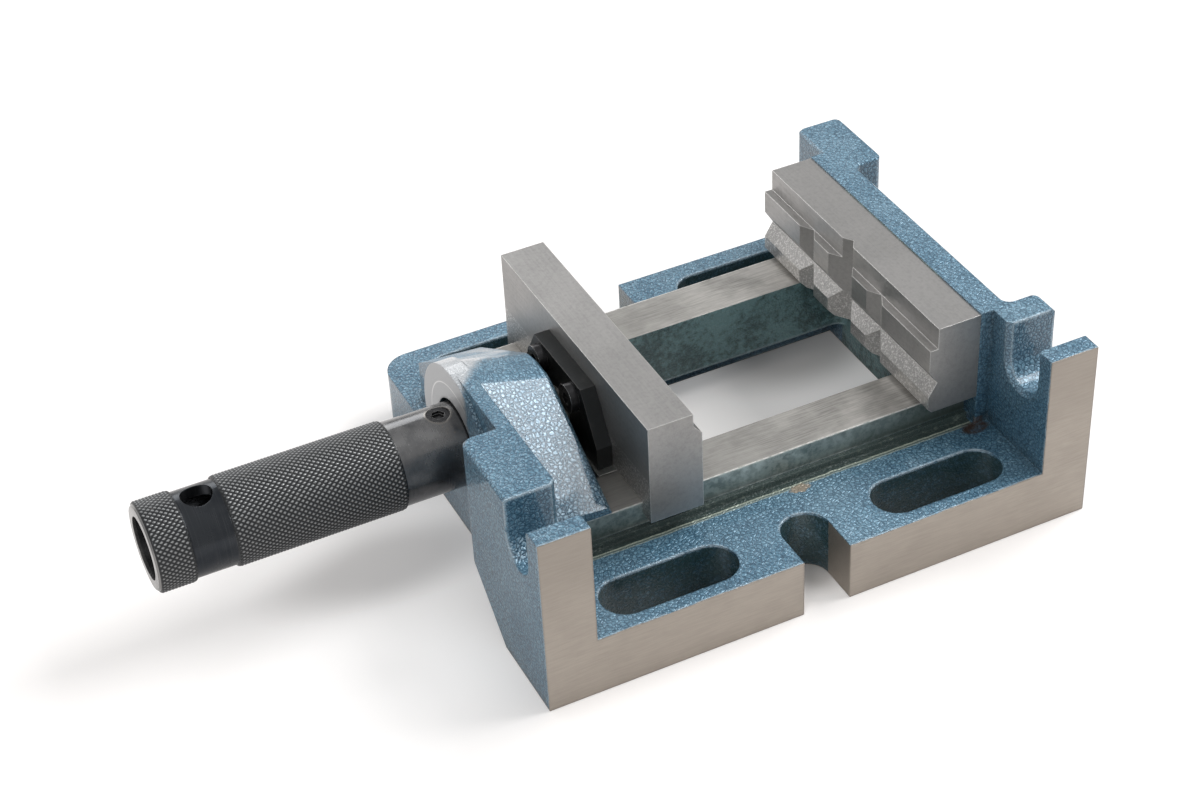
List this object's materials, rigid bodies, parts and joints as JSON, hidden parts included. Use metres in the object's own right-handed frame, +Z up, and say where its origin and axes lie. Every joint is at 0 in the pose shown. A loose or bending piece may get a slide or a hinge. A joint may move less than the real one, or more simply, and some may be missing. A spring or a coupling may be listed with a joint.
{
  "type": "drill press vise",
  "caption": "Low cast vise for a drill table: blue painted base with clamping slots, grooved fixed jaw, sliding jaw and a hollow knurled handle that turns the nut.",
  "frame": {"origin": "on the underside's plane, straight below the screw's axis and half way along the casting", "axes": "+X along the screw from the handle towards the fixed jaw, +Y away from the machined side face, +Z up"},
  "size_m": [0.2943, 0.1655, 0.0675],
  "materials": {
    "casting_paint": "hammered blue paint on cast iron, glossy",
    "jaw_steel": "ground steel",
    "machined_iron": "machined",
    "dark_steel": "black oxide, satin",
    "screw_steel": "turned, oiled",
    "handle_steel": "black oxide, knurled on the cap and grip",
    "screw_heads": "black oxide"
  },
  "bodies": {
    "base": {"base_casting": "casting_paint", "fixed_jaw": "jaw_steel", "fixed_jaw_bolt_near": "screw_heads", "fixed_jaw_bolt_far": "screw_heads", "thrust_washer": "screw_steel"},
    "jaw": {"moving_jaw": "jaw_steel", "guide_block": "machined_iron", "keeper_plate": "machined_iron", "spindle_bracket": "dark_steel", "spindle": "screw_steel", "spindle_pin": "screw_steel", "bracket_screw_near": "screw_heads", "bracket_screw_far": "screw_heads", "jaw_screw_near": "screw_heads", "jaw_screw_far": "screw_heads", "keeper_screw_near": "screw_heads", "keeper_screw_far": "screw_heads"},
    "handle": {"handle": "handle_steel", "spindle_nut": "screw_steel", "handle_grub_screw": "screw_heads"}
  },
  "joints": [
    {"name": "handle_turn", "type": "hinge", "parent": "base", "child": "handle", "pos_m": [-0.1, 0, 0.0402], "axis": [1, 0, 0], "range_deg": [-180, 7550]},
    {"name": "jaw_slide", "type": "slide", "parent": "base", "child": "jaw", "axis": [1, 0, 0], "range_m": [-0.002, 0.084]}
  ],
  "couplings": [
    {"joint": "jaw_slide", "follows": "handle_turn", "m_per_rad": 0.00063662}
  ]
}
